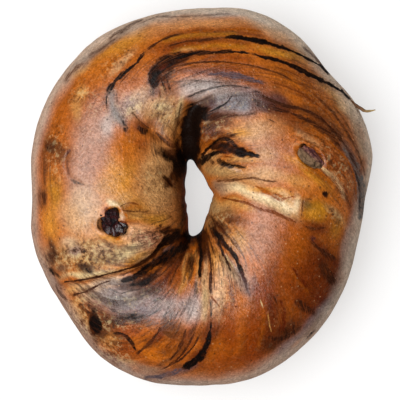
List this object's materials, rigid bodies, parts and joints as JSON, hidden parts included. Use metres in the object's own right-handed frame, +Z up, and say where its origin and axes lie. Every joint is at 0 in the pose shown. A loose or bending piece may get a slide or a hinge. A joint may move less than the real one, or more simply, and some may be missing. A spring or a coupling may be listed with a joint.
{
  "type": "bagel",
  "caption": "Whole hand-rolled ring of glossy cinnamon-swirled bread with a narrow hole, raisins showing in the crust, lying on a flat base.",
  "frame": {"origin": "centre of the bounding box's base, on the surface that the ring lies on", "axes": "+Z up out of the crust's top, +Y along the ring's longer width, +X to the right seen from above"},
  "size_m": [0.1054, 0.1156, 0.0427],
  "materials": {
    "crust": "boiled and baked dough crust: satin gloss, golden brown to orange brown, with dark cinnamon swirls and fine blisters",
    "raisin": "nearly black purple raisin skin: wrinkled and glossy",
    "pale_raisin": "raisin under a thin dry film of dough: wrinkled, dull grey brown",
    "stem": "dry woody raisin stem: dull, brown with a straw-coloured tip"
  },
  "bodies": {
    "root": {"bagel": "crust", "raisin_left": "raisin", "raisin_right": "pale_raisin", "raisin_stem": "stem"}
  },
  "joints": []
}
